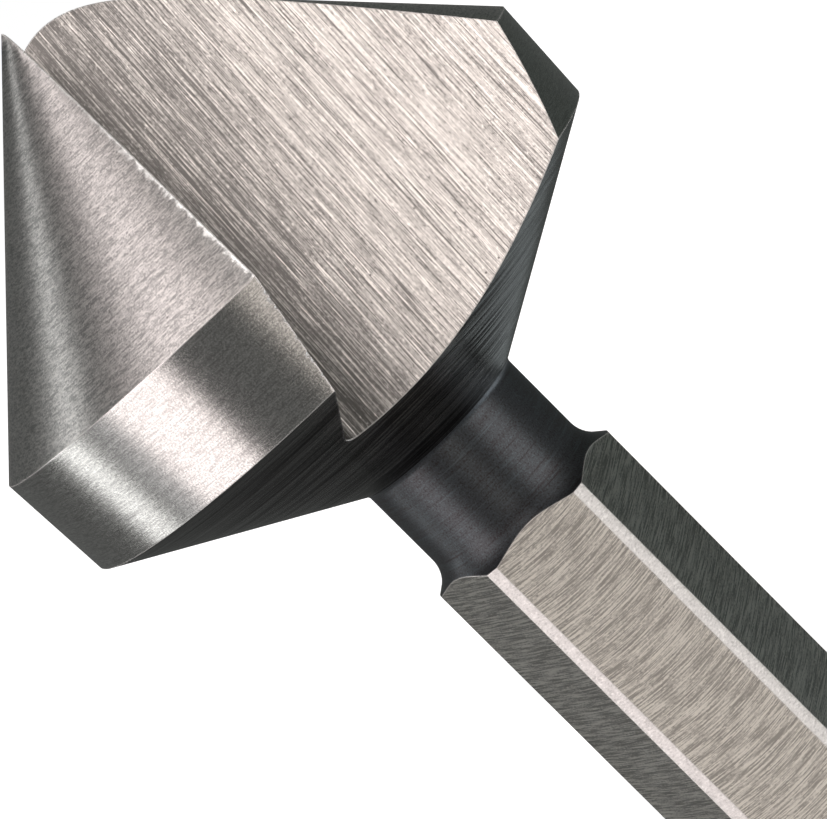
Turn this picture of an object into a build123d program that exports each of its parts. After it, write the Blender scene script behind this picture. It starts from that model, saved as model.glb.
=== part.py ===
"""Single-flute 90 degree countersink bit on a quarter-inch hexagon shank.

The bit is one piece of high-speed steel.  It is modelled in the grinder's frame: the
theoretical point of the cutting cone at the origin, the tool axis along +Z towards the
shank, and the flute floor facing +X.  It cuts clockwise when it is looked at from the shank.
It is then turned over, to stand on the end of its shank with the point up and the flute
facing -Y.  The origin is then the centre of the shank's end face.
"""
import os
from math import acos, atan2, cos, degrees, radians, sin, tan

from build123d import *

# ---- Driving dimensions: millimetres and degrees ----

# Head
head_diameter = 20.5         # cutting diameter, at the front rim of the land
head_rear_diameter = 20.15   # rear rim of the land, which tapers back a little
point_angle = 90.0           # included angle of the cutting cone
land_length = 3.85           # the band between the cone and the back cone
back_angle = 118.0           # included angle of the back cone
relief_lean = 1.2            # the cone is ground about an axis that leans over by this
relief_phase = 18.0          # towards this far behind the cutting edge, so it clears the work

# Flute: one straight pass with an angled wheel, from beyond the point to the back cone
flute_slope = 30.5           # climb of the floor against the tool axis
flute_skew = 3.0             # swing of the pass towards the cutting edge
flute_depth = 5.8            # cutting corner to floor, square to the floor
rake_lean = 14.0             # overhang of the rake face beyond square to the floor
cutting_edge_offset = 0.6    # cutting corner ahead of the tool's centre plane
flute_corner_radius = 0.35   # root of the rake face

# Neck
neck_diameter = 5.88
neck_length = 2.78           # cylindrical length, back cone to shank fillet
neck_root_radius = 0.25      # fillet against the back cone
shank_fillet_radius = 1.1    # fillet that runs out into the shank

# Shank
flat_count = 6
shank_across_flats = 6.35
shank_corner_diameter = 7.1  # the corners are turned to this
shank_turn = 2.2             # first flat, turned from the direction the flute floor faces
total_length = 41.0          # theoretical point to shank end
shank_end_chamfer = 0.5

# ---- Derived sizes ----
head_radius = head_diameter / 2
head_rear_radius = head_rear_diameter / 2
neck_radius = neck_diameter / 2
corner_radius = shank_corner_diameter / 2
flat_radius = shank_across_flats / 2
flat_spacing = 360 / flat_count

rim_station = head_radius / tan(radians(point_angle / 2))
rear_rim_station = rim_station + land_length
neck_station = rear_rim_station + (head_rear_radius - neck_radius) / tan(radians(back_angle / 2))
fillet_station = neck_station + neck_length
land_slope = (head_radius - head_rear_radius) / land_length
blank_radius = head_radius + land_slope * rim_station
fillet_arc = degrees(acos(1 - (corner_radius - neck_radius) / shank_fillet_radius))

# ---- Tool, in the grinder's frame ----
with BuildPart() as tool:
    # Turned blank: the land line runs on forward to the level of the point
    with BuildSketch(Plane.XZ) as blank_profile:
        with BuildLine():
            head_outline = Polyline(
                (0, 0),
                (blank_radius, 0),
                (head_rear_radius, rear_rim_station),
                (neck_radius, neck_station),
                (neck_radius, fillet_station),
            )
            shank_fillet = JernArc(
                start=head_outline @ 1,
                tangent=(0, 1),
                radius=shank_fillet_radius,
                arc_size=-fillet_arc,
            )
            Polyline(
                shank_fillet @ 1,
                (corner_radius, total_length - shank_end_chamfer),
                (corner_radius - shank_end_chamfer, total_length),
                (0, total_length),
                (0, 0),
            )
        make_face()
        neck_root = blank_profile.vertices().sort_by_distance((neck_radius, neck_station))[0]
        fillet(neck_root, neck_root_radius)
    revolve(axis=Axis.Z)

    # Six flats, milled from the shank end to where they run out in the neck fillet
    with BuildSketch(Plane.XY.offset(fillet_station)):
        Circle(shank_corner_diameter)
        RegularPolygon(
            flat_radius,
            side_count=flat_count,
            major_radius=False,
            rotation=shank_turn + flat_spacing / 2,
            mode=Mode.SUBTRACT,
        )
    extrude(amount=total_length - fillet_station, mode=Mode.SUBTRACT)

    # Cutting cone, ground about an axis that leans over behind the cutting edge
    cutting_azimuth = atan2(cutting_edge_offset, head_radius)
    cutting_corner = Vector(
        head_radius * cos(cutting_azimuth), head_radius * sin(cutting_azimuth), rim_station
    )
    relief_azimuth = cutting_azimuth + radians(relief_phase)
    lean = radians(relief_lean)
    grinding_axis = Vector(
        sin(lean) * cos(relief_azimuth), sin(lean) * sin(relief_azimuth), cos(lean)
    )
    cone_slope = tan(radians(grinding_axis.get_angle(cutting_corner)))
    grinding_plane = Plane(origin=(0, 0, 0), z_dir=grinding_axis)
    waste_length = 2 * rim_station
    with BuildSketch(
        Plane(origin=(0, 0, 0), x_dir=grinding_plane.x_dir, z_dir=-grinding_plane.y_dir)
    ):
        with BuildLine():
            Polyline(
                (0, 0),
                (waste_length * cone_slope, waste_length),
                (waste_length * cone_slope, -waste_length),
                (0, -waste_length),
                close=True,
            )
        make_face()
    revolve(axis=Axis((0, 0, 0), grinding_axis), mode=Mode.SUBTRACT)

    # Flute, swept straight along the wheel's pass
    slope = radians(flute_slope)
    floor_plane = Plane(
        origin=cutting_corner,
        x_dir=(sin(slope), 0, cos(slope)),
        z_dir=(cos(slope), 0, -sin(slope)),
    )
    pass_plane = Plane(floor_plane.location * Rotation(0, 0, -flute_skew))
    overhang = tan(radians(rake_lean))
    with BuildSketch(
        Plane(origin=cutting_corner, x_dir=pass_plane.y_dir, z_dir=pass_plane.x_dir)
    ) as flute_profile:
        with BuildLine():
            Polyline(
                (-flute_depth * overhang, -flute_depth),
                (head_diameter, -flute_depth),
                (head_diameter, head_radius),
                (head_radius * overhang, head_radius),
                close=True,
            )
        make_face()
        flute_root = flute_profile.vertices().sort_by_distance(
            (-flute_depth * overhang, -flute_depth)
        )[0]
        fillet(flute_root, flute_corner_radius)
    extrude(amount=total_length, both=True, mode=Mode.SUBTRACT)

# ---- Stood on the end of its shank ----
standing = Plane(origin=(0, 0, total_length), x_dir=(0, -1, 0), z_dir=(0, 0, -1))
with BuildPart() as countersink_bit:
    with Locations(standing):
        add(tool.part)
countersink_bit.part.label = "countersink_bit"

os.makedirs("parts", exist_ok=True)
export_step(countersink_bit.part, "parts/countersink_bit.step")
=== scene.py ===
"""The looks of a single-flute 90 degree countersink bit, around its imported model.

The bit is machined again here at a finer grain than the CAD solid has: a turned blank, six
milled flats, a ground cone, a ground flute and a few chips out of the cutting edge.  The
flute's grinding lines are real grooves, and each machined surface has its own steel.
Machining is done in millimetres, in the grinder's frame: the cone's theoretical point at the
origin, +Z towards the shank, the flute facing +X.
"""
import random
from collections import namedtuple
from math import acos, atan2, cos, degrees, pi, radians, sin, tan

import bmesh
import bpy
from mathutils import Matrix, Vector


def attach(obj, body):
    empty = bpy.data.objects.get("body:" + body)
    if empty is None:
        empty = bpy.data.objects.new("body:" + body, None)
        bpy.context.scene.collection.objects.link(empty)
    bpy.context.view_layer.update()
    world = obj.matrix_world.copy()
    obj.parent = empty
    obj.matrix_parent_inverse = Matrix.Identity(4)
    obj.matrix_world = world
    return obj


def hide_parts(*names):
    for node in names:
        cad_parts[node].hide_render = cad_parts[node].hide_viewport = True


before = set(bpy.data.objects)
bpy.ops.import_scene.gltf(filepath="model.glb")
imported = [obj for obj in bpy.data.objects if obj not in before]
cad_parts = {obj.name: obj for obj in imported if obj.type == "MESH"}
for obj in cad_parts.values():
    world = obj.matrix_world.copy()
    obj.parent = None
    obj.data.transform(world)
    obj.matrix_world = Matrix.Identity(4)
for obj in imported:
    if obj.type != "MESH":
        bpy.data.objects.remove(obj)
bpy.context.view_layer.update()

# ---- Sizes of the bit: millimetres and degrees, as in the CAD part ----
head_diameter = 20.5
head_rear_diameter = 20.15
point_angle = 90.0
land_length = 3.85
back_angle = 118.0
relief_lean = 1.2
relief_phase = 18.0

flute_slope = 30.5
flute_skew = 3.0
flute_depth = 5.8
rake_lean = 14.0
cutting_edge_offset = 0.6
flute_corner_radius = 0.35

neck_diameter = 5.88
neck_length = 2.78
neck_root_radius = 0.25
shank_fillet_radius = 1.1

flat_count = 6
shank_across_flats = 6.35
shank_corner_diameter = 7.1
shank_turn = 2.2
total_length = 41.0
shank_end_chamfer = 0.5

# ---- Fineness of the machining ----
turned_steps = 720  # facets round the bit
arc_steps = 10                # facets along a fillet
groove_pitch = (0.02, 0.065)  # spacing of the flute's grinding lines, least and most
groove_depth = 0.0015         # how far a line strays from the floor
scratch_depth = 0.0035        # a few lines are cut this much deeper
scratch_share = 0.08          # the share of the lines that are
machining_seed = 7
overrun = 1.0                 # how far a mill passes the end of the shank
sharp_angle = 22.0            # facets that meet at more than this keep a sharp edge

# Chips out of the land's cutting edge: the distance behind the rim, and the size
chips = (
    (0.55, 0.08), (0.80, 0.12), (1.05, 0.07), (1.50, 0.06), (2.05, 0.07),
    (2.60, 0.10), (2.80, 0.07), (3.30, 0.06),
)
chip_raggedness = (0.8, 1.2)  # least and most of its size that a chip reaches

# ---- Derived sizes ----
head_radius = head_diameter / 2
head_rear_radius = head_rear_diameter / 2
neck_radius = neck_diameter / 2
corner_radius = shank_corner_diameter / 2
flat_radius = shank_across_flats / 2
rim_station = head_radius / tan(radians(point_angle / 2))
rear_rim_station = rim_station + land_length
back_slope = tan(radians(back_angle / 2))
neck_station = rear_rim_station + (head_rear_radius - neck_radius) / back_slope
fillet_station = neck_station + neck_length
land_slope = (head_radius - head_rear_radius) / land_length
blank_radius = head_radius + land_slope * rim_station
overhang = tan(radians(rake_lean))
slope = radians(flute_slope)

cutting_azimuth = atan2(cutting_edge_offset, head_radius)
cutting_corner = Vector(
    (head_radius * cos(cutting_azimuth), head_radius * sin(cutting_azimuth), rim_station)
)
relief_azimuth = cutting_azimuth + radians(relief_phase)
lean = radians(relief_lean)
grinding_axis = Vector(
    (sin(lean) * cos(relief_azimuth), sin(lean) * sin(relief_azimuth), cos(lean))
)

floor_normal = Vector((cos(slope), 0, -sin(slope)))
pass_turn = Matrix.Rotation(radians(-flute_skew), 3, floor_normal)
pass_direction = pass_turn @ Vector((sin(slope), 0, cos(slope)))
pass_across = floor_normal.cross(pass_direction)

# The grinder's frame, in millimetres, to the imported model's frame, in metres
millimetre = 0.001
to_row = Matrix.Scale(millimetre, 4) @ Matrix(
    ((0, -1, 0, 0), (-1, 0, 0, 0), (0, 0, -1, total_length), (0, 0, 0, 1))
)


# ---- Node helper ----
class Shader:
    """Builds a node tree from plain calls.  A value is a number, a tuple or a socket."""

    def __init__(self, tree):
        self.tree = tree
        tree.nodes.clear()

    def node(self, kind, inputs=(), **settings):
        made = self.tree.nodes.new("ShaderNode" + kind)
        for key, value in settings.items():
            setattr(made, key, value)
        for key, value in dict(inputs).items():
            if isinstance(value, bpy.types.NodeSocket):
                self.tree.links.new(value, made.inputs[key])
            else:
                made.inputs[key].default_value = value
        return made

    def math(self, operation, *values):
        return self.node("Math", enumerate(values), operation=operation).outputs[0]

    def vector(self, operation, *values):
        return self.node("VectorMath", enumerate(values), operation=operation).outputs["Vector"]

    def dot(self, first, second):
        inputs = enumerate((first, second))
        return self.node("VectorMath", inputs, operation="DOT_PRODUCT").outputs["Value"]

    def scale(self, vector, factor):
        inputs = {0: vector, "Scale": factor}
        return self.node("VectorMath", inputs, operation="SCALE").outputs["Vector"]

    def ramp(self, value, low, high, start=0.0, end=1.0):
        inputs = {"Value": value, "From Min": low, "From Max": high, "To Min": start, "To Max": end}
        return self.node("MapRange", inputs, interpolation_type="SMOOTHSTEP").outputs[0]

    def mix(self, factor, first, second):
        made = self.node("Mix", {0: factor, 6: first, 7: second}, data_type="RGBA")
        return made.outputs[2]

    def noise(self, vector, detail=2.0, roughness=0.55):
        inputs = {"Vector": vector, "Scale": 1.0, "Detail": detail, "Roughness": roughness}
        return self.node("TexNoise", inputs).outputs[0]

    def grain(self, place, lay, across, along):
        """Noise in cells drawn out along the grinding lines, sized in millimetres."""
        fine, coarse = 1 / (across * millimetre), 1 / (along * millimetre)
        reach = self.math("MULTIPLY", self.dot(place, lay), fine - coarse)
        return self.noise(self.vector("ADD", self.scale(place, coarse), self.scale(lay, reach)))


# ---- Directions that the steels follow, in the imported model's frame ----
along_axis = (0.0, 0.0, 1.0)
sideways = (1.0, 0.0, 0.0)
hollow_turn = 0.1     # how far the flute's hollow turns off the wheel's pass, as a slope
hollow_setback = 4.6  # from the cutting corner to the middle of the hollow


def row_direction(vector):
    """A direction of the grinder's frame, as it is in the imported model's."""
    return tuple((to_row.to_3x3() @ vector).normalized())


def corner_reach(direction):
    """How far along a direction the cutting corner lies from the origin, in millimetres."""
    return Vector(direction).dot(to_row @ cutting_corner) / millimetre


flute_lay = row_direction(pass_across)
floor_lay = row_direction(floor_normal)
floor_reach = corner_reach(floor_lay) - flute_depth
rake_lay = row_direction(pass_across - overhang * floor_normal)
rake_reach = corner_reach(rake_lay)
hollow_lay = row_direction(pass_across + hollow_turn * pass_direction)
hollow_center = corner_reach(hollow_lay) + hollow_setback

# ---- Wear, painted highlights and painted shade of the steels: millimetres, and shares of one ----
noise_gain = 5.0              # spreads a noise about its mean, to about one each way
mean_shade = 0.5
faint_shade = 0.4             # what a faint grain keeps of its shade, next to a strong one
edge_radius = 0.07            # rounding of the edges
glint_and_wear_turn = (0.004, 0.04)     # 1 - cosine of the rounded normal's turn: where the pale edge, part wear and part painted highlight, starts and is full
# the pale colour painted on the rounded edges: part bare-steel wear, part painted highlight
glint_and_wear_color = (0.95, 0.92, 0.90)
edge_matt = 0.4               # how far the pale edges, part wear and part painted highlight, lose their metallic gloss
pit_spacing = 0.60
pit_radius = 0.035
pit_rim = (1.4, 0.7)          # where a pit starts and is full, in its radii
pit_share = 0.5               # the share of the cells that hold a pit
pit_color = (0.10, 0.095, 0.09)
honed_spacing = 0.25          # spacing of the unevenness along the honed margin
honed_stray = 2.4             # how far that noise carries the margin's border, in widths
honed_rim = (-0.4, -1.2)      # where the margin starts and is full, in widths
# how pale the honed margin is painted: part wear, part painted highlight along the cutting edge
honed_glint_and_wear = 0.6
honed_tilt = 0.10             # how far the margin leans over to the rake face
wall_shade_reach = (-5.1, -0.4)     # from the hollow's middle: the flute is painted darker towards the rake face, as shade beside the overhanging wall
painted_wall_shade = 0.13             # the colour's shade there, in place of the mean one: painted shade


# ---- Steels ----
Grain = namedtuple("Grain", "width length shade depth")


def rgba(color):
    return (*color, 1.0)


def bowed(shader, place, bow):
    """Places whose grinding lines bend sideways, by a curve per millimetre."""
    side = shader.dot(place, sideways)
    sag = shader.math("MULTIPLY", shader.math("MULTIPLY", side, side), -bow / millimetre)
    return shader.vector("ADD", place, shader.scale(along_axis, sag))


def hollowed_and_wall_shaded(shader, place, hollow, shade):
    """The painted shade that darkens the flute towards the rake face, and the height of a flute
    that a wheel with wear left hollow.
    """
    reach = shader.math("SUBTRACT", shader.dot(place, hollow_lay), hollow_center * millimetre)
    reach = shader.math("MULTIPLY", reach, 1 / millimetre)
    # painted shade: the flute's colour darkens towards the overhanging rake face
    shade = shader.ramp(reach, *wall_shade_reach, painted_wall_shade, shade)
    height = shader.math("MULTIPLY", shader.math("MULTIPLY", reach, reach), hollow / 2)
    return shade, height


def grained(shader, place, lay, grains, shade, height):
    """The shade and the height with the grains added, strong grains most."""
    for grain in grains:
        noise = shader.grain(place, lay, grain.width, grain.length)
        stray = shader.math("MULTIPLY_ADD", noise, noise_gain, -noise_gain / 2)
        gain = shader.math("MULTIPLY_ADD", stray, stray, faint_shade)
        gain = shader.math("MULTIPLY", gain, grain.shade)
        shade = shader.math("MULTIPLY_ADD", stray, gain, shade)
        height = shader.math("MULTIPLY_ADD", noise, grain.depth, height)
    return shade, height


def pitted(shader, place, color, pits):
    """The color with small dark pits scattered over it."""
    cells = shader.node(
        "TexVoronoi", {"Vector": place, "Scale": 1 / (pit_spacing * millimetre)}
    )
    start, full = (share * pit_radius / pit_spacing for share in pit_rim)
    pit = shader.ramp(cells.outputs["Distance"], start, full)
    chance = shader.node("SeparateColor", {0: cells.outputs["Color"]}).outputs[0]
    pit = shader.math("MULTIPLY", pit, shader.math("GREATER_THAN", chance, 1 - pit_share))
    return shader.mix(shader.math("MULTIPLY", pit, pits), color, rgba(pit_color))


def honed_margin(shader, place, honed):
    """One in the uneven margin beside the rake face, and nothing away from it."""
    width = honed * millimetre
    behind = shader.math("SUBTRACT", rake_reach * millimetre, shader.dot(place, rake_lay))
    uneven = shader.noise(shader.scale(place, 1 / (honed_spacing * millimetre)))
    behind = shader.math("MULTIPLY_ADD", uneven, -honed_stray * width, behind)
    margin = shader.ramp(behind, *(share * width for share in honed_rim))
    above = shader.math("SUBTRACT", shader.dot(place, floor_lay), floor_reach * millimetre)
    return shader.math("MULTIPLY", margin, shader.math("GREATER_THAN", above, 0.0))


def steel(
    name, lay, dark, light, roughness, anisotropy, grains,
    metallic=1.0, bow=0.0, hollow=0.0, pits=0.0, edge_glint_and_wear=0.8, honed=0.0,
):
    """Ground, milled or turned steel.

    lay is the direction square to its grinding lines, and bow bends those lines sideways.
    dark and light are its colors at the bottom and the top of its grain.
    hollow is the curve, per millimetre, that the wheel's wear leaves across the lines; with a
    hollow, the flute is also painted darker towards the rake face, as painted shade.
    pits is how dark its pits are, and the one after it how pale its rounded edges are painted: part
    wear, part painted highlight.
    honed is the width of the margin where the surface meets the rake face: it leans towards the
    rake face and is painted pale, part wear and part painted highlight.
    A grain is its width and length, how much it shades the steel, and its depth.
    """
    material = bpy.data.materials.new(name)
    material.use_nodes = True
    shader = Shader(material.node_tree)
    place = shader.node("TexCoord").outputs["Object"]
    if bow:
        place = bowed(shader, place, bow)
    shade, height = mean_shade, 0.0
    if hollow:
        shade, height = hollowed_and_wall_shaded(shader, place, hollow, shade)
    shade, height = grained(shader, place, lay, grains, shade, height)
    color = shader.mix(shader.math("MINIMUM", shade, 1.0), rgba(dark), rgba(light))
    if pits:
        color = pitted(shader, place, color, pits)
    rounded = shader.node("Bevel", {"Radius": edge_radius * millimetre}, samples=4).outputs[0]
    own = shader.node("NewGeometry").outputs["Normal"]
    # rounded edges are painted pale: part wear, part painted highlight
    turn_away = shader.math("SUBTRACT", 1.0, shader.dot(rounded, own))
    edge = shader.math("MULTIPLY", shader.ramp(turn_away, *glint_and_wear_turn), edge_glint_and_wear)
    if honed:
        margin = honed_margin(shader, place, honed)
        # the honed margin is painted pale as well, part wear and part painted highlight
        edge = shader.math("MAXIMUM", edge, shader.math("MULTIPLY", margin, honed_glint_and_wear))
        tilt = shader.scale(rake_lay, shader.math("MULTIPLY", margin, honed_tilt))
        rounded = shader.vector("NORMALIZE", shader.vector("ADD", rounded, tilt))
    bump = shader.node(
        "Bump",
        {"Strength": 1.0, "Distance": millimetre, "Height": height, "Normal": rounded},
    )
    surface = shader.node(
        "BsdfPrincipled",
        {
            "Base Color": shader.mix(edge, color, rgba(glint_and_wear_color)),
            "Metallic": shader.math("MULTIPLY_ADD", edge, -edge_matt * metallic, metallic),
            "Roughness": roughness,
            "Anisotropic": anisotropy,
            "Tangent": shader.node("CombineXYZ", enumerate(lay)).outputs[0],
            "Normal": bump.outputs[0],
        },
    )
    shader.node("OutputMaterial", {"Surface": surface.outputs[0]})
    return material


cone_steel = steel(
    "cone_steel",
    lay=along_axis,
    dark=(0.36, 0.355, 0.35),
    light=(0.78, 0.76, 0.74),
    roughness=0.30,
    anisotropy=0.6,
    grains=[
        Grain(0.040, 0.30, 0.70, 0.0035),
        Grain(0.10, 0.80, 0.30, 0.0035),
        Grain(0.060, 0.060, 0.60, 0.0030),
    ],
    pits=0.5,
    # the honed margin along the cutting edge is painted pale: part wear, part painted highlight
    honed=0.26,
)
land_steel = steel(
    "land_steel",
    lay=along_axis,
    dark=(0.46, 0.45, 0.44),
    light=(0.80, 0.79, 0.77),
    roughness=0.245,
    anisotropy=0.7,
    grains=[
        Grain(0.035, 0.50, 0.50, 0.0022),
        Grain(0.10, 1.20, 0.20, 0.0018),
        Grain(0.050, 0.050, 0.85, 0.0018),
    ],
    # a narrow honed margin, painted pale: part wear, part painted highlight
    honed=0.08,
)
flute_steel = steel(
    "flute_steel",
    lay=flute_lay,
    dark=(0.19, 0.186, 0.179),
    light=(0.91, 0.89, 0.85),
    roughness=0.36,
    anisotropy=0.7,
    grains=[
        Grain(0.040, 1.3, 0.48, 0.0025),
        Grain(0.040, 7.0, 0.40, 0.0030),
        Grain(0.10, 12.0, 0.16, 0.0020),
        Grain(0.055, 0.13, 0.26, 0.0015),
    ],
    # the hollow also paints shade on the flute, darker towards the rake face
    hollow=0.011,
    pits=0.8,
)
flat_steel = steel(
    "flat_steel",
    lay=along_axis,
    dark=(0.42, 0.40, 0.38),
    light=(0.94, 0.91, 0.86),
    roughness=0.36,
    anisotropy=0.8,
    grains=[
        Grain(0.045, 1.0, 1.50, 0.0045),
        Grain(0.12, 1.6, 0.15, 0.0015),
        Grain(0.040, 0.10, 0.45, 0.0015),
    ],
    bow=0.05,
)
matt_grains = [
    Grain(0.060, 0.10, 0.50, 0.0020),
    Grain(0.15, 0.40, 0.20, 0.0015),
]
corner_steel = steel(
    "corner_steel",
    lay=along_axis,
    dark=(0.58, 0.565, 0.55),
    light=(0.92, 0.90, 0.88),
    roughness=0.45,
    anisotropy=0.5,
    grains=matt_grains,
)
chip_steel = steel(
    "chip_steel",
    lay=along_axis,
    dark=(0.70, 0.68, 0.66),
    light=(0.98, 0.96, 0.94),
    roughness=0.5,
    anisotropy=0.0,
    grains=matt_grains,
)
neck_oxide = steel(
    "neck_oxide",
    lay=along_axis,
    dark=(0.056, 0.048, 0.050),
    light=(0.116, 0.134, 0.146),
    roughness=0.42,
    anisotropy=0.5,
    grains=[
        Grain(0.060, 2.0, 0.25, 0.0025),
        Grain(0.20, 6.0, 0.10, 0.0020),
        Grain(0.050, 0.050, 0.50, 0.0025),
    ],
    metallic=0.9,
    edge_glint_and_wear=0.25,
)
back_oxide = steel(
    "back_oxide",
    lay=along_axis,
    dark=(0.012, 0.010, 0.010),
    light=(0.105, 0.103, 0.102),
    roughness=0.22,
    anisotropy=0.5,
    grains=[
        Grain(0.040, 4.0, 1.60, 0.0120),
        Grain(0.12, 8.0, 1.80, 0.0650),
        Grain(0.050, 0.050, 0.60, 0.0025),
    ],
    metallic=0.95,
    edge_glint_and_wear=0.25,
)


# ---- Machining ----
def new_object(name, points, faces, materials, face_materials):
    """A mesh object whose faces take the given materials, by their numbers."""
    mesh = bpy.data.meshes.new(name)
    mesh.from_pydata([tuple(p) for p in points], [], faces)
    for material in materials:
        mesh.materials.append(material)
    mesh.polygons.foreach_set("material_index", face_materials)
    made = bpy.data.objects.new(name, mesh)
    bpy.context.scene.collection.objects.link(made)
    return made


def arc(center, radius, start, end, steps=arc_steps):
    """Points of a fillet, from its first angle to its last, in degrees."""
    angles = [radians(start + (end - start) * i / steps) for i in range(steps + 1)]
    return [(center[0] + radius * cos(a), center[1] + radius * sin(a)) for a in angles]


def turn(name, spans, place=Matrix.Identity(4)):
    """Turns the spans of an outline, from the axis and back to it.

    A span is its points and its material, and it starts where the span before it ends.
    """
    outline = []
    kinds = []
    for points, material in spans:
        outline += points
        kinds += [material] * len(points)
    kinds = kinds[1:]
    materials = list(dict.fromkeys(kinds))
    points = []
    rows = []
    for radius, height in outline:
        if radius == 0:
            rows.append([len(points)] * turned_steps)
            points.append(place @ Vector((0, 0, height)))
            continue
        rows.append([len(points) + i for i in range(turned_steps)])
        for i in range(turned_steps):
            a = 2 * pi * i / turned_steps
            points.append(place @ Vector((radius * cos(a), radius * sin(a), height)))
    faces = []
    face_materials = []
    for lower, upper, kind in zip(rows, rows[1:], kinds):
        for i in range(turned_steps):
            j = (i + 1) % turned_steps
            corners = list(dict.fromkeys((lower[i], lower[j], upper[j], upper[i])))
            if len(corners) > 2:
                faces.append(corners)
                face_materials.append(materials.index(kind))
    return new_object(name, points, faces, materials, face_materials)


def prism(name, profile, place, length, material):
    """A closed profile drawn out both ways along its plane's z axis."""
    count = len(profile)
    points = [place @ Vector((x, y, z)) for z in (-length, length) for x, y in profile]
    faces = [list(range(count))[::-1], list(range(count, 2 * count))]
    faces += [[i, (i + 1) % count, count + (i + 1) % count, count + i] for i in range(count)]
    return new_object(name, points, faces, [material], [0] * len(faces))


def frame_of(origin, x_axis, z_axis):
    """The matrix of a plane from its origin, its x axis and its z axis."""
    x, z = x_axis.normalized(), z_axis.normalized()
    turned = Matrix((x, z.cross(x), z)).transposed().to_4x4()
    return Matrix.Translation(origin) @ turned


def turned_blank():
    """The bar as it leaves the lathe: head, back cone, neck and shank."""
    half_back = radians(back_angle / 2)
    root_reach = neck_root_radius * tan(half_back / 2)
    root_center = (neck_radius + neck_root_radius, neck_station + root_reach)
    root = arc(root_center, neck_root_radius, 180 + degrees(half_back), 180)
    sweep = degrees(acos(1 - (corner_radius - neck_radius) / shank_fillet_radius))
    flare_center = (neck_radius + shank_fillet_radius, fillet_station)
    flare = arc(flare_center, shank_fillet_radius, 180, 180 - sweep)
    bevel_station = total_length - shank_end_chamfer
    bevel_radius = corner_radius - shank_end_chamfer
    return turn(
        "countersink_steel",
        [
            ([(0, 0), (blank_radius, 0), (head_rear_radius, rear_rim_station)], land_steel),
            (root[:1], back_oxide),
            (root[1:] + flare, neck_oxide),
            ([(corner_radius, bevel_station)], corner_steel),
            ([(bevel_radius, total_length), (0, total_length)], corner_steel),
        ],
    )


def flat_cutter():
    """A hollow hexagonal mill that takes the shank down to its six flats."""
    inner = flat_radius / cos(pi / flat_count)
    outer = 2 * shank_corner_diameter
    step = 360 / flat_count
    angles = [radians(shank_turn + step / 2 + step * i) for i in range(flat_count)]
    end = total_length + overrun
    rings = [(inner, fillet_station), (outer, fillet_station), (outer, end), (inner, end)]
    points = [(r * cos(a), r * sin(a), z) for r, z in rings for a in angles]
    faces = []
    for k in range(len(rings)):
        here, there = k * flat_count, (k + 1) % len(rings) * flat_count
        for i in range(flat_count):
            j = (i + 1) % flat_count
            faces.append([here + i, here + j, there + j, there + i])
    return new_object("flat_cutter", points, faces, [flat_steel], [0] * len(faces))


def cone_cutter():
    """The grinding cone's waste, about an axis that leans behind the cutting edge."""
    reach = 2 * rim_station
    side = tan(grinding_axis.angle(cutting_corner)) * reach
    place = frame_of(Vector((0, 0, 0)), Vector((1, 0, 0)).cross(grinding_axis), grinding_axis)
    outline = [(0, 0), (side, reach), (side, -reach), (0, -reach)]
    return turn("cone_cutter", [(outline[::-1], cone_steel)], place)


def flute_cutter():
    """The angled wheel's pass, with a groove for each grain that stands out of the wheel."""
    random.seed(machining_seed)
    turn_angle = radians(90 - rake_lean) / 2
    root_setback = flute_corner_radius / tan(turn_angle)
    root = (-flute_depth * overhang, -flute_depth)
    center = (root[0] + root_setback, root[1] + flute_corner_radius)
    profile = arc(center, flute_corner_radius, 180 - rake_lean, 270)
    across = profile[-1][0]
    while across < head_diameter:
        across += random.uniform(*groove_pitch)
        scratch = scratch_depth if random.random() < scratch_share else 0
        profile.append((across, -flute_depth + random.gauss(0, groove_depth) - scratch))
    profile += [(across, head_radius), (head_radius * overhang, head_radius)]
    place = frame_of(cutting_corner, pass_across, pass_direction)
    return prism("flute_cutter", profile, place, total_length, flute_steel)


def chip_cutter(number, station, size):
    """A ragged ball that takes a chip out of the land's cutting edge."""
    rake_normal = pass_across - overhang * floor_normal
    radius = head_radius - land_slope * (station - rim_station)
    reach = (cutting_corner.dot(rake_normal) - station * rake_normal.z) / radius
    flat = rake_normal.xy
    azimuth = atan2(flat.y, flat.x) + acos(reach / flat.length)
    center = Vector((radius * cos(azimuth), radius * sin(azimuth), station))
    shell = bmesh.new()
    bmesh.ops.create_icosphere(shell, subdivisions=2, radius=size)
    for vertex in shell.verts:
        vertex.co = center + vertex.co * random.uniform(*chip_raggedness)
    mesh = bpy.data.meshes.new("chip_cutter")
    shell.to_mesh(mesh)
    shell.free()
    mesh.materials.append(chip_steel)
    made = bpy.data.objects.new(f"chip_cutter_{number}", mesh)
    bpy.context.scene.collection.objects.link(made)
    return made


def machined_bit():
    """The blank less everything that is milled and ground off it."""
    work = turned_blank()
    cutters = [flat_cutter(), cone_cutter(), flute_cutter()]
    cutters += [chip_cutter(i, rim_station + s, r) for i, (s, r) in enumerate(chips)]
    for cutter in cutters:
        cut = work.modifiers.new(cutter.name, "BOOLEAN")
        cut.object = cutter
        cut.operation = "DIFFERENCE"
        cut.solver = "EXACT"
        cut.material_mode = "TRANSFER"
    graph = bpy.context.evaluated_depsgraph_get()
    mesh = bpy.data.meshes.new_from_object(work.evaluated_get(graph))
    work.modifiers.clear()
    work.data = mesh
    for cutter in cutters:
        bpy.data.objects.remove(cutter)
    mesh.transform(to_row)
    mesh.shade_smooth()
    mesh.set_sharp_from_angle(angle=radians(sharp_angle))
    return work


bit = machined_bit()
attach(bit, "root")
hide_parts("countersink_bit")

# ---- Floor and backdrop ----
floor_size = 20.0
floor_gray = 0.5
floor_glow = 0.95  # brings the floor up to the white of the backdrop


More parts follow.
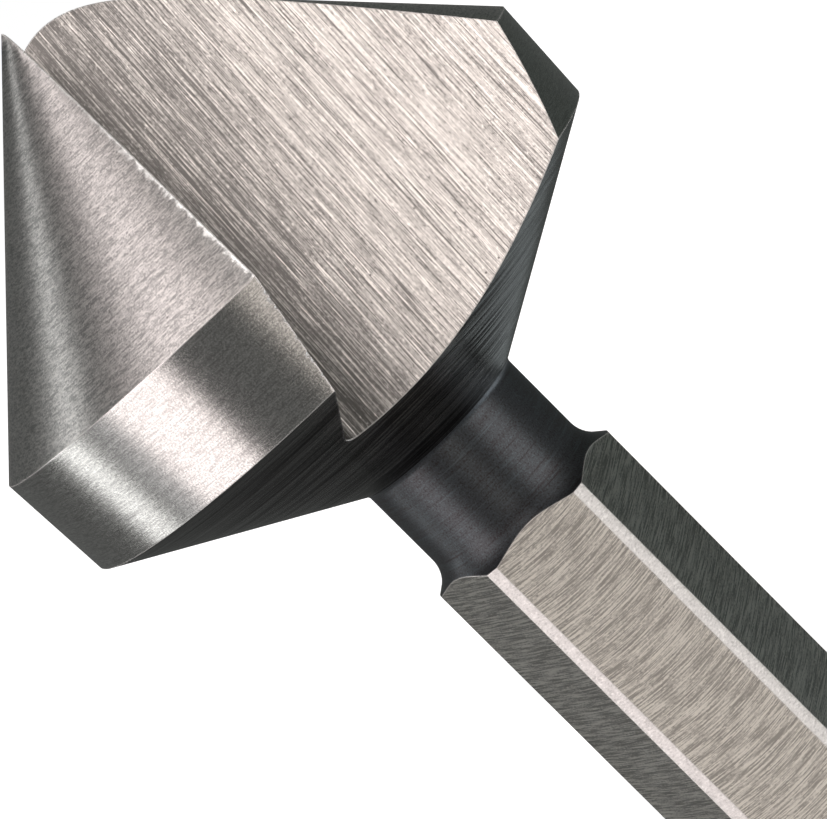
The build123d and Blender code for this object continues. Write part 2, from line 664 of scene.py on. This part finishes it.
def pale_floor():
    """A wide plain floor that the bit stands on and doesn't mirror."""
    half = floor_size / 2
    corners = [(-half, -half, 0), (half, -half, 0), (half, half, 0), (-half, half, 0)]
    material = bpy.data.materials.new("pale_floor")
    material.use_nodes = True
    shader = Shader(material.node_tree)
    paint = {"Base Color": rgba([floor_gray] * 3), "Roughness": 0.9}
    glow = {"Emission Color": rgba([1.0] * 3), "Emission Strength": floor_glow}
    surface = shader.node("BsdfPrincipled", {**paint, **glow})
    shader.node("OutputMaterial", {"Surface": surface.outputs[0]})
    made = new_object("pale_floor", corners, [[0, 1, 2, 3]], [material], [0])
    made.visible_glossy = False
    made.visible_shadow = False
    return made


pale_floor()

# ---- Light ----
head_center = Vector((0.0, 0.0, (total_length - rim_station) * millimetre))
light_distance = 0.5
# A box runs between two directions from the head, each an azimuth, from the camera's side
# towards its right, and an elevation.  Directions and widths are in degrees.
softboxes = {
    #              one end     other end  width radiance color
    "main_box": ((-62, -26), (-82, 75), 32, 1.75, (1.0, 0.91, 0.90)),
    "edge_strip": ((-92, -28), (-131, 42), 11, 1.8, (1.0, 1.0, 0.99)),
    "fill_box": ((-81, -34), (-81, 6), 13, 0.35, (0.98, 0.98, 1.0)),
    "flute_box": ((-40, 51), (7, 51), 30, 2.45, (1.0, 0.89, 0.86)),
    "front_box": ((-5, -42), (-5, -2), 20, 0.86, (1.0, 0.91, 0.84)),
    "right_box": ((49, -34), (49, 16), 37, 1.45, (1.0, 0.95, 0.93)),
    "low_right_box": ((85, -62), (130, -38), 24, 2.2, (0.92, 1.0, 1.04)),
    "rear_low_box": ((152, -33), (180, -33), 15, 0.38, (0.90, 1.0, 1.03)),
    "wall_box": ((30, 47), (66, 40), 20, 1.4, (1.0, 0.93, 0.90)),
    "top_box": ((20, 84), (95, 70), 20, 3.6, (1.0, 0.98, 0.97)),
    "back_box": ((178, 14), (178, 65), 22, 1.0, (1.0, 0.97, 0.95)),
}


def heading(azimuth, elevation):
    """The unit vector of a direction from the head."""
    a, e = radians(azimuth), radians(elevation)
    return Vector((sin(a) * cos(e), -cos(a) * cos(e), sin(e)))


def softbox(name, one_end, other_end, width, radiance, color):
    """A long rectangular lamp between two directions, width degrees wide from the bit."""
    first, last = heading(*one_end), heading(*other_end)
    inward = -(first + last).normalized()
    along = (last - first).normalized()
    lamp = bpy.data.lights.new(name, "AREA")
    lamp.shape = "RECTANGLE"
    lamp.size = 2 * light_distance * tan(radians(width / 2))
    lamp.size_y = 2 * light_distance * tan(first.angle(last) / 2)
    lamp.energy = radiance * pi * lamp.size * lamp.size_y
    lamp.color = color
    made = bpy.data.objects.new(name, lamp)
    sides = Matrix((along.cross(-inward), along, -inward)).transposed().to_4x4()
    made.matrix_world = Matrix.Translation(head_center - light_distance * inward) @ sides
    made.visible_camera = False
    bpy.context.scene.collection.objects.link(made)


for name, settings in softboxes.items():
    softbox(name, *settings)

left_glow = (0.104, 0.107, 0.104)
right_glow = (0.058, 0.066, 0.061)
glow_span = (-0.5, 0.9)  # sideways: where the left glow ends and where the right one is full


def studio():
    """A dim room, paler on its left, behind a white backdrop that only the camera sees."""
    world = bpy.data.worlds.new("studio")
    world.use_nodes = True
    sky = Shader(world.node_tree)
    side = sky.dot(sky.node("TexCoord").outputs["Generated"], sideways)
    glow = sky.mix(sky.ramp(side, *glow_span), rgba(left_glow), rgba(right_glow))
    seen = sky.node("LightPath").outputs["Is Camera Ray"]
    backdrop = sky.mix(seen, glow, rgba((1.0, 1.0, 1.0)))
    background = sky.node("Background", {"Color": backdrop})
    sky.node("OutputWorld", {"Surface": background.outputs[0]})
    return world


bpy.context.scene.world = studio()

# ---- Camera: metres and degrees, and its lens in millimetres ----
camera_distance = 0.129645
camera_elevation = 8.548
camera_roll = 45.02
camera_lens = 187.87
aim = Vector((-0.0001356, 0.0, 0.0234794))

camera = bpy.data.objects.new("camera", bpy.data.cameras.new("camera"))
bpy.context.scene.collection.objects.link(camera)
camera.data.lens = camera_lens
camera.data.clip_start = 0.01
camera.data.clip_end = 50.0
view = Matrix.Rotation(radians(90 - camera_elevation), 4, "X")
view = view @ Matrix.Rotation(radians(-camera_roll), 4, "Z")
setback = Matrix.Translation((0, 0, camera_distance))
camera.matrix_world = Matrix.Translation(aim) @ view @ setback
bpy.context.scene.camera = camera
bpy.context.scene.view_settings.view_transform = "Standard"
